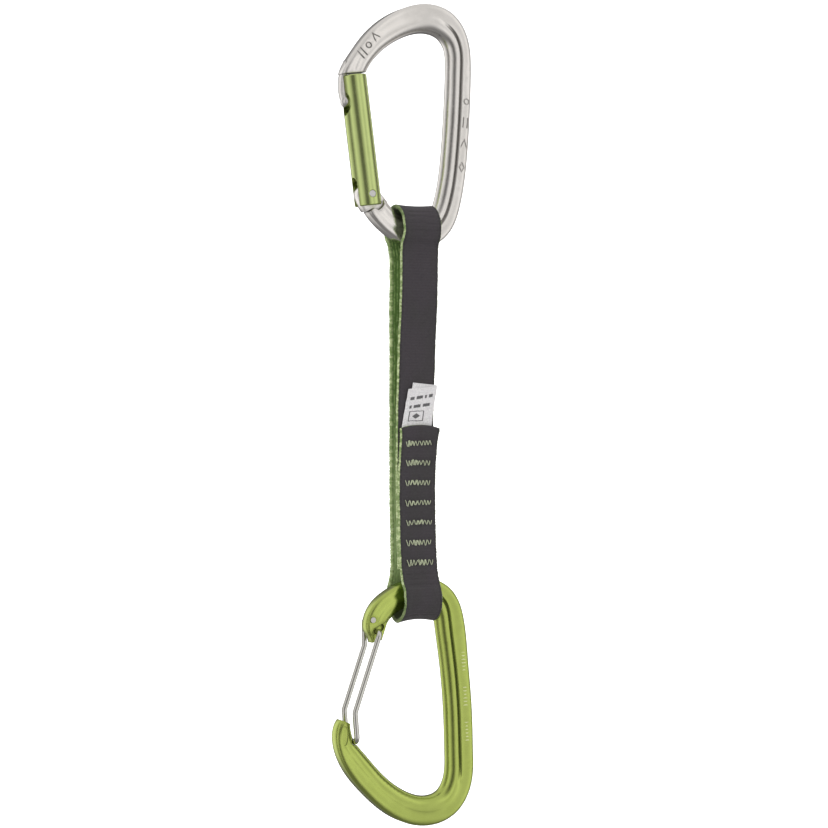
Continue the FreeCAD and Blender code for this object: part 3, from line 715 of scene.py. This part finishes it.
def green_face(n, u, v, z, grain):
    """Height and colour of the green face: lengthwise cords crossed by short weft floats."""
    cord_index = n.math("FLOOR", n.math("DIVIDE", n.math("ADD", u, CORD / 2), CORD))
    floats = n.ripple(n.math("ADD", v, n.math("MULTIPLY", cord_index, FLOAT_SHIFT)), FLOAT_PITCH)
    wobble = n.noise(n.place((1, 1, 0.35)), 0.9, 2.0)
    cords = n.math("MULTIPLY", n.ripple(u, CORD), n.ramp(wobble, 0.35, 0.65, 0.25, 1.0))
    height = n.math("MULTIPLY", n.math("MULTIPLY_ADD", cords, 0.85, 0.15),
                    n.math("MULTIPLY_ADD", floats, 0.22, 0.78))
    colour = n.mix(n.ramp(height, 0.15, 0.85), linear(86, 116, 56), linear(152, 181, 112))
    # paler towards the rope bar
    colour = n.mix(n.ramp(z, -140.0, -205.0, 0.0, 0.7), colour, linear(180, 200, 146))
    return height, n.mix(n.math("MULTIPLY", grain, 0.35), colour, linear(98, 126, 68))


def selvedge_colour(n):
    """The pale woven edge, with short ticks and greener patches."""
    ticks = n.ramp(n.noise(n.place((0.2, 0.2, 1.0)), 0.8, 2.0), 0.4, 0.6)
    patches = n.ramp(n.noise(n.place(), 0.7, 2.0), 0.45, 0.6, 0.0, 0.6)
    colour = n.mix(ticks, linear(124, 142, 92), linear(182, 194, 146))
    return n.mix(patches, colour, linear(100, 128, 68))


def webbing_material():
    """Dark ribbed face, green corded face, and a pale selvedge between them."""
    n = Surface("webbing")
    u, v, _ = n.split(n.uv())
    _, y, z = n.split(n.place())
    greenness = n.attribute("greenness")
    grain = n.noise(n.place(), 1.6, 3.0, 0.6)
    edge_distance = n.math("SUBTRACT", HALF_WIDTH, n.math("ABSOLUTE", u))
    at_edge = n.ramp(edge_distance, SELVEDGE - 0.15, SELVEDGE + 0.1, 1.0, 0.0)
    dark_height, dark = dark_face(n, u, v, grain, at_edge)
    green_height, green = green_face(n, u, v, z, grain)
    pale = selvedge_colour(n)
    green = n.mix(n.math("MULTIPLY", at_edge, 0.65), green, pale)

    # where one face ends and the other begins
    rough_line = n.math("MULTIPLY_ADD", n.noise(n.place(), 1.1, 2.0), 0.3, -0.15)
    rim = n.ramp(n.math("ADD", edge_distance, rough_line), RIM_INNER, RIM_OUTER)
    half_green = n.math("MAXIMUM", n.ramp(n.math("ADD", greenness, rough_line), 0.16, 0.26), rim)
    edge_only = n.math("MULTIPLY", n.math("MAXIMUM", n.ramp(greenness, 0.02, 0.2), rim),
                       n.ramp(greenness, 1.0, 0.8))

    # painted light: a paler grey in front under the bolt bar, for the bar to mirror; painted shade inside
    # either fold
    under_bolt_bar = n.ramp(z, BOLT_BAR_Z - 13.0, BOLT_BAR_Z - 6.0, 0.0, 0.7)
    bar_mirror_light = n.math("MULTIPLY", under_bolt_bar, n.ramp(y, 3.0, 0.0))
    green = n.mix(bar_mirror_light, green, linear(150, 154, 140))
    fold_shade = n.math("ADD", n.ramp(z, BOLT_BAR_Z + 3.0, BOLT_BAR_Z + 6.0),
                       n.ramp(z, ROPE_BAR_Z + 2.0, ROPE_BAR_Z - 4.0))
    # painted shade: the green face and the pale edge turn dark olive inside either fold
    green = n.mix(n.math("MULTIPLY", fold_shade, 0.82), green, linear(48, 54, 34))
    pale = n.mix(n.math("MULTIPLY", fold_shade, 0.6), pale, linear(84, 98, 60))

    colour = n.mix(half_green, dark, green)
    colour = n.mix(n.math("MULTIPLY", edge_only, half_green), colour, pale)
    # painted shade: darker where the stitches pull the webbing in
    colour = n.mix(n.math("MULTIPLY", n.attribute("dent"), 0.25), colour, linear(30, 30, 30))
    height = n.mix(half_green, dark_height, green_height)
    fuzz = n.noise(n.place(), 7.0, 2.0, 0.7)
    normal = n.bump(fuzz, 0.05, 0.5, n.bump(height, 0.09, 0.8))
    return n.finish(Base_Color=colour, Roughness=n.ramp(grain, 0.2, 0.8, 0.62, 0.85), Sheen_Weight=0.06,
                    Sheen_Roughness=0.4, Specular_IOR_Level=0.3, Normal=normal)


def thread_material():
    """Twisted pale grey-green sewing thread."""
    n = Surface("thread")
    angle, length, _ = n.split(n.uv())
    twist = n.ripple(n.math("ADD", angle, n.math("DIVIDE", length, 0.8)), 0.5)
    grain = n.noise(n.place(), 3.0)
    colour = n.mix(twist, linear(140, 148, 116), linear(212, 218, 190))
    colour = n.mix(n.math("MULTIPLY", grain, 0.35), colour, linear(168, 180, 134))
    return n.finish(Base_Color=colour, Roughness=0.55, Sheen_Weight=0.3, Normal=n.bump(twist, 0.06, 0.8))


PRINTED_ROWS = [                    # height on the tag, and where the dashes start and end
    (0.75, [(0.12, 0.27), (0.34, 0.56), (0.63, 0.70), (0.77, 0.90)]),
    (0.55, [(0.14, 0.22), (0.29, 0.52), (0.60, 0.84)])]
PRINT_TILT = 0.05                   # the rows rise this much over the tag's width
FRAME_X, FRAME_HALF_WIDTH = 0.42, 0.26
FRAME_Y, FRAME_HALF_HEIGHT = 0.34, 0.12


def print_ink(n, x, y):
    """Rows of plain dashes, and a plain frame with a diamond in it: 1 where there is ink."""
    rough = n.math("MULTIPLY_ADD", n.noise(n.place(), 1.5, 2.0), 0.03, -0.015)

    def distance(value, middle):
        return n.math("ABSOLUTE", n.math("SUBTRACT", value, middle))

    def rough_distance(value, middle):
        return n.math("ABSOLUTE", n.math("ADD", n.math("SUBTRACT", value, middle), rough))

    tilted = n.math("SUBTRACT", y, n.math("MULTIPLY", x, PRINT_TILT))
    across = n.math("DIVIDE", distance(x, FRAME_X), FRAME_HALF_WIDTH)
    up = n.math("DIVIDE", rough_distance(y, FRAME_Y), FRAME_HALF_HEIGHT)
    outline = n.ramp(distance(n.math("MAXIMUM", across, up), 0.93), 0.05, 0.09, 1.0, 0.0)
    diamond = n.ramp(n.math("ADD", across, up), 0.50, 0.58, 1.0, 0.0)
    marks = []
    for middle, dashes in PRINTED_ROWS:
        line = n.ramp(rough_distance(tilted, middle), 0.030, 0.042, 1.0, 0.0)
        for start, end in dashes:
            half = (end - start) / 2
            inside = n.ramp(distance(x, (start + end) / 2), half - 0.01, half + 0.01, 1.0, 0.0)
            marks.append(n.math("MULTIPLY", line, inside))
    ink = marks[0]
    for mark in marks[1:] + [n.math("MAXIMUM", outline, diamond)]:
        ink = n.math("MAXIMUM", ink, mark)
    return ink


def tag_material(printed):
    """Light grey woven cloth, plain or printed."""
    n = Surface("tag_cloth_printed" if printed else "tag_cloth")
    x, y, _ = n.split(n.uv())
    weave = n.math("MULTIPLY", n.ripple(x, 0.024), n.ripple(y, 0.018))
    speckle = n.noise(n.place(), 2.2, 3.0, 0.65)
    colour = n.mix(n.ramp(speckle, 0.35, 0.65), linear(196, 194, 196), linear(224, 222, 223))
    colour = n.mix(n.math("MULTIPLY", weave, 0.2), colour, linear(215, 213, 214))
    if printed:
        colour = n.mix(n.math("MULTIPLY", print_ink(n, x, y), 0.88), colour, linear(46, 45, 47))
    return n.finish(Base_Color=colour, Roughness=0.85, Sheen_Weight=0.2, Normal=n.bump(weave, 0.04, 0.6))


CORNER_REACH = 1.6                  # how far from a corner the painted shade reaches
RIM_BLEND = ((1.0, 0.45), (0.1, 0.55))    # shares of the wide and of the tight rounding of a rim


def metal(name, tint, dark_tint, corner_shade_tint, roughness, rounding, grain, streaks=0.0, marks=None):
    """Tumbled and finished metal: soft rims, slow swells, small dents, cloudy gloss, painted shade in
    corners.
    """
    n = Surface(name)
    place = n.place()
    cloud = n.noise(place, 0.12, 3.0, 0.55)
    dents = n.noise(place, 0.9, 3.0, 0.6)
    fine = n.noise(place, 5.0, 2.0, 0.6)
    # painted shade: the colour darkens in corners and grooves that ambient occlusion finds
    corner = n.node("AmbientOcclusion", samples=6, only_local=True)
    corner.inputs["Distance"].default_value = CORNER_REACH * MM
    corner_shade = n.ramp(corner.outputs["AO"], 0.97, 0.45)
    colour = n.mix(n.ramp(cloud, 0.3, 0.7, 0.7, 1.0), linear(*dark_tint), linear(*tint))
    colour = n.mix(n.math("MULTIPLY", corner_shade, 0.65), colour, linear(*corner_shade_tint))
    if marks:
        colour = marks(n, colour)
    gloss = n.math("ADD", n.ramp(cloud, 0.3, 0.7, roughness - 0.015, roughness + 0.02),
                   n.math("MULTIPLY_ADD", fine, 0.08, -0.04))
    height = n.math("ADD", dents, n.math("MULTIPLY", fine, 0.3))
    if streaks:
        lines = n.noise(n.place((1, 1, 0.03)), 2.2, 3.0, 0.6)
        height = n.math("MULTIPLY_ADD", lines, streaks, height)
    normals = []
    for size, share in RIM_BLEND:
        edge = n.node("Bevel", samples=6)
        edge.inputs["Radius"].default_value = size * rounding * MM
        part = n.node("VectorMath", operation="SCALE")
        part.inputs["Scale"].default_value = share
        normals.append(n.fed(part, edge.outputs[0]))
    crowned = n.vector("NORMALIZE", n.vector("ADD", *normals))
    swell = n.bump(n.noise(place, 0.06, 1.0), 0.25 * rounding, 0.5, crowned)
    return n.finish(Base_Color=colour, Metallic=1.0, Roughness=gloss,
                    Normal=n.bump(height, grain, 0.6, swell))


TICK_PITCH = 1.5
TICKS_TOP_Z = -262.0
TICKS_LENGTH = 42.5
TICKS_X, TICKS_SLOPE = 22.6, 0.055  # the spine's middle at the top tick, and how it leans out below
GROUP_TURN = 0.42                   # radians per millimetre of the wave that parts the ticks into groups


def spine_ticks(n, colour):
    """Pale generic laser ticks down the rope carabiner's spine."""
    x, y, z = n.split(n.place())
    along = n.math("SUBTRACT", n.math("MULTIPLY", z, -1.0), -TICKS_TOP_Z)
    centre = n.math("MULTIPLY_ADD", along, TICKS_SLOPE, TICKS_X)
    away = n.math("ABSOLUTE", n.math("SUBTRACT", x, centre))
    cell = n.node("TexWhiteNoise", noise_dimensions="1D")
    n.put(n.math("FLOOR", n.math("DIVIDE", along, TICK_PITCH)), cell.inputs["W"])
    length = n.math("MULTIPLY_ADD", cell.outputs["Value"], 0.7, 0.35)
    inside = n.ramp(n.math("SUBTRACT", away, length), -0.05, 0.05, 1.0, 0.0)
    ticks = n.ramp(n.ripple(along, TICK_PITCH), 0.72, 0.86)
    spread = n.math("MULTIPLY", n.ramp(along, -0.5, 0.5),
                    n.ramp(along, TICKS_LENGTH + 0.5, TICKS_LENGTH - 0.5))
    group = n.ramp(n.math("SINE", n.math("MULTIPLY", along, GROUP_TURN)), -0.5, -0.35)
    front = n.ramp(y, -2.2, -2.6)
    ink = n.math("MULTIPLY", n.math("MULTIPLY", inside, ticks), n.math("MULTIPLY", spread, front))
    ink = n.math("MULTIPLY", ink, group)
    return n.mix(n.math("MULTIPLY", ink, 0.85), colour, linear(226, 232, 176))


# ---- smooth shading of the frame's nodes ---------------------------
SMOOTH_ANGLE = 44.0                 # degrees; faces that meet more sharply than this keep a crisp edge
AREA_SHARE = 0.3                    # power of a face's area in the average; a low one rounds the flats' rims
WELD = 1e-7                         # metres; vertices in one cell of this grid count as one
TINY = 1e-20                        # keeps a division by nothing from failing


def smooth_shaded(node):
    """Gives a frame node averaged corner normals; its vertices stay as they are."""
    mesh = node.data
    count, corners = len(mesh.vertices), len(mesh.loops)
    place = np.empty(count * 3)
    mesh.vertices.foreach_get("co", place)
    cells = np.round(place.reshape(-1, 3) / WELD).astype(np.int64)
    _, weld = np.unique(cells, axis=0, return_inverse=True)
    vertex = np.empty(corners, np.int64)
    mesh.loops.foreach_get("vertex_index", vertex)
    starts = np.empty(len(mesh.polygons), np.int64)
    mesh.polygons.foreach_get("loop_start", starts)
    face = np.repeat(np.arange(len(starts)), np.diff(np.append(starts, corners)))
    tri = place.reshape(-1, 3)[vertex[starts[:, None] + np.arange(3)]]
    cross = np.cross(tri[:, 1] - tri[:, 0], tri[:, 2] - tri[:, 0])
    area = np.linalg.norm(cross, axis=1)
    face_normal = cross / np.maximum(area, TINY)[:, None]
    order = np.argsort(weld[vertex].ravel(), kind="stable")
    groups = weld[vertex].ravel()[order]
    first = np.flatnonzero(np.append(True, np.diff(groups) > 0))
    sizes = np.diff(np.append(first, corners))
    limit = math.cos(math.radians(SMOOTH_ANGLE))
    normals = np.empty((corners, 3))
    for size in np.unique(sizes):
        rows = first[sizes == size][:, None] + np.arange(size)
        chosen = order[rows]
        n = face_normal[face[chosen]]
        a = area[face[chosen]] ** AREA_SHARE
        close = np.einsum("gik,gjk->gij", n, n) > limit
        close |= np.eye(size, dtype=bool)
        normals[chosen] = np.einsum("gij,gjk->gik", close * a[:, None, :], n)
    normals /= np.maximum(np.linalg.norm(normals, axis=1), TINY)[:, None]
    mesh.shade_smooth()
    mesh.normals_split_custom_set(normals.tolist())


def dress(node_name, material):
    """One finish for one frame node."""
    node = frame["nodes"][node_name]
    node.data.materials.clear()
    node.data.materials.append(material)
    smooth_shaded(node)


# tint, darker tint, tint of the painted shade in corners, roughness, rounding of rims, grain, and perhaps
# streaks and marks
FINISHES = {
    "bare_aluminium": ((236, 232, 228), (220, 215, 209), (96, 92, 88), 0.18, 3.4, 0.005),
    "lime_anodised": ((200, 214, 142), (182, 196, 122), (72, 84, 40), 0.24, 0.5, 0.006, 0.8),
    "green_anodised": ((187, 201, 108), (170, 186, 90), (66, 78, 22), 0.20, 3.4, 0.004, 0.0, spine_ticks),
    "stainless_wire": ((222, 220, 214), (196, 194, 188), (96, 94, 90), 0.16, 0.1, 0.005),
    "steel_rivet": ((216, 215, 212), (184, 182, 178), (70, 68, 66), 0.24, 0.3, 0.006),
    "spring_steel": ((190, 190, 192), (150, 150, 152), (60, 60, 62), 0.2, 0.1, 0.006),
}
FINISH_OF = {
    "bolt_carabiner_body": "bare_aluminium", "bolt_gate": "lime_anodised",
    "rope_carabiner_body": "green_anodised", "wire_gate": "stainless_wire",
    "bolt_gate_pin": "steel_rivet", "bolt_gate_spring": "spring_steel", "bolt_gate_plunger": "steel_rivet",
}


def metals():
    """The carabiners, gates and the bolt gate's inner parts."""
    made = {name: metal(name, *settings) for name, settings in FINISHES.items()}
    for node_name, finish_name in FINISH_OF.items():
        dress(node_name, made[finish_name])


# ---- stage, light and camera ---------------------------------------
VIEW_AZIMUTH = -27.0
VIEW_DISTANCE = 950.0
VIEW_WIDTH = 349.9                  # width of the picture at the object
VIEW_CENTRE_Z = -160.6
VIEW_SHIFT = 0.845
SENSOR_WIDTH = 36.0
FLOOR_DROP = 60.0                   # from the object's lowest point to the floor
FLOOR_NEAR = -4000.0                # the floor's near end, behind the camera
BACKDROP_DEPTH, BACKDROP_RADIUS = 1500.0, 500.0
BACKDROP_HALF_WIDTH, BACKDROP_HEIGHT = 5000.0, 4000.0
LIGHT_DISTANCE = 1700.0
LIGHTS = [                          # angle round the object from the camera, angle up, size, brightness
    ("key_light", -40.0, 30.0, (1300, 1300), 2.0),
    ("fill_light", 70.0, 8.0, (900, 1500), 0.9),
    ("top_light", 0.0, 88.0, (2000, 2000), 0.9)]


def studio():
    """A pale floor that curves up into a backdrop, soft boxes, and a plain room that the metal mirrors."""
    floor_z = cad_box[0].z / MM - FLOOR_DROP
    bend_y = BACKDROP_DEPTH - BACKDROP_RADIUS
    profile = [(FLOOR_NEAR, floor_z), (bend_y, floor_z)]
    for angle in np.radians(np.linspace(-90, 0, 13))[1:]:
        profile.append((bend_y + BACKDROP_RADIUS * math.cos(angle),
                        floor_z + BACKDROP_RADIUS + BACKDROP_RADIUS * math.sin(angle)))
    profile.append((BACKDROP_DEPTH, floor_z + BACKDROP_HEIGHT))
    azimuth = math.radians(VIEW_AZIMUTH)
    forward = np.array([-math.sin(azimuth), math.cos(azimuth)])
    right = np.array([math.cos(azimuth), math.sin(azimuth)])
    points = []
    for away, z in profile:
        for side in (-BACKDROP_HALF_WIDTH, BACKDROP_HALF_WIDTH):
            x, y = forward * away + right * side
            points.append((x, y, z))
    faces = [(2 * k, 2 * k + 1, 2 * k + 3, 2 * k + 2) for k in range(len(profile) - 1)]
    floor = mesh_object("studio_floor", points, faces)
    floor.data.materials.append(floor_material())
    floor.visible_glossy = False
    room()
    for light in LIGHTS:
        soft_box(*light)
    bpy.context.scene.view_settings.view_transform = "Standard"


def floor_material():
    """Matt white; the camera sees it a little brighter than it lights the object."""
    n = Surface("pale_floor")
    seen = n.node("LightPath").outputs["Is Camera Ray"]
    return n.finish(Base_Color=linear(250, 250, 250), Roughness=0.9, Emission_Color=(1, 1, 1, 1),
                    Emission_Strength=n.math("MULTIPLY", seen, 0.7))


OVERHEAD = (0.75, 0.75, 0.75, 1.0)
UNDERFOOT = (0.22, 0.22, 0.22, 1.0)
ROOM_TINT = (1.0, 0.995, 0.985, 1.0)
# the room's brightness at angles round the object, 0 towards the camera and positive to the right
ROOM = [(-180, 0.08), (-156, 0.22), (-130, 1.15), (-102, 0.70), (-78, 0.20), (-48, 1.00), (-26, 0.66),
        (-8, 0.14), (8, 0.14), (24, 0.60), (40, 1.05), (56, 0.66), (70, 0.95), (84, 1.10), (100, 0.30),
        (116, 0.10), (142, 0.90), (164, 0.10), (180, 0.08)]


def room():
    """A plain studio room: bright walls with darker stretches, brighter overhead."""
    world = bpy.data.worlds.new("studio")
    bpy.context.scene.world = world
    world.use_nodes = True
    n = Nodes(world.node_tree)
    azimuth = math.radians(VIEW_AZIMUTH)
    direction = n.node("TexCoord").outputs["Generated"]
    sides = []
    for axis in ((math.cos(azimuth), math.sin(azimuth), 0), (math.sin(azimuth), -math.cos(azimuth), 0)):
        dot = n.node("VectorMath", operation="DOT_PRODUCT")
        n.fed(dot, direction, axis)
        sides.append(dot.outputs["Value"])
    turn = n.math("MULTIPLY_ADD", n.math("ARCTAN2", *sides), 1 / (2 * math.pi), 0.5)
    ramp = n.node("ValToRGB")
    ramp.color_ramp.interpolation = "EASE"
    elements = ramp.color_ramp.elements
    while len(elements) > 1:
        elements.remove(elements[-1])
    for index, (angle, value) in enumerate(ROOM):
        element = elements[0] if index == 0 else elements.new((angle + 180) / 360)
        element.position = (angle + 180) / 360
        element.color = (value, value, value, 1.0)
    n.put(turn, ramp.inputs[0])
    height = n.split(direction)[2]
    level = n.mix(n.ramp(height, 0.35, 0.85), ramp.outputs[0], OVERHEAD)
    level = n.mix(n.ramp(height, -0.25, -0.85), level, UNDERFOOT)
    seen = n.node("LightPath").outputs["Is Camera Ray"]
    strength = n.math("MAXIMUM", level, seen)    # the camera sees a plain bright wall
    background = n.node("Background")
    background.inputs["Color"].default_value = ROOM_TINT
    n.put(strength, background.inputs["Strength"])
    output = n.node("OutputWorld")
    n.link(background.outputs[0], output.inputs["Surface"])


def soft_box(name, turn, height, size, brightness):
    """A soft light at angles round and above the object; it lights the object but is not mirrored in it."""
    lamp = bpy.data.lights.new(name, "AREA")
    lamp.shape = "RECTANGLE"
    lamp.size, lamp.size_y = size[0] * MM, size[1] * MM
    lamp.energy = brightness * math.pi * lamp.size * lamp.size_y
    box = bpy.data.objects.new(name, lamp)
    turn = math.radians(VIEW_AZIMUTH + turn)
    height = math.radians(height)
    away = Vector((math.sin(turn) * math.cos(height), -math.cos(turn) * math.cos(height), math.sin(height)))
    box.location = Vector((0, 0, VIEW_CENTRE_Z * MM)) + away * LIGHT_DISTANCE * MM
    box.rotation_euler = (-away).to_track_quat("-Z", "Y").to_euler()
    box.visible_glossy = False
    bpy.context.scene.collection.objects.link(box)


def camera():
    """Level with the sling's middle, seen from the front and the gates' side."""
    azimuth = math.radians(VIEW_AZIMUTH)
    right = Vector((math.cos(azimuth), math.sin(azimuth), 0))
    back = Vector((math.sin(azimuth), -math.cos(azimuth), 0))
    data = bpy.data.cameras.new("camera")
    data.sensor_width = SENSOR_WIDTH
    data.lens = data.sensor_width * VIEW_DISTANCE / VIEW_WIDTH
    view = bpy.data.objects.new("camera", data)
    target = Vector((0, 0, VIEW_CENTRE_Z)) + right * VIEW_SHIFT
    view.location = (target + back * VIEW_DISTANCE) * MM
    view.rotation_euler = (-back).to_track_quat("-Z", "Y").to_euler()
    bpy.context.scene.collection.objects.link(view)
    bpy.context.scene.camera = view


metals()
webbing()
front_threads = threads("bar_tack_threads", front_face, -1, 11)
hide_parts("bar_tacks")
threads("bar_tack_threads_rear", back_face, 1, 12)
tag()
studio()
camera()
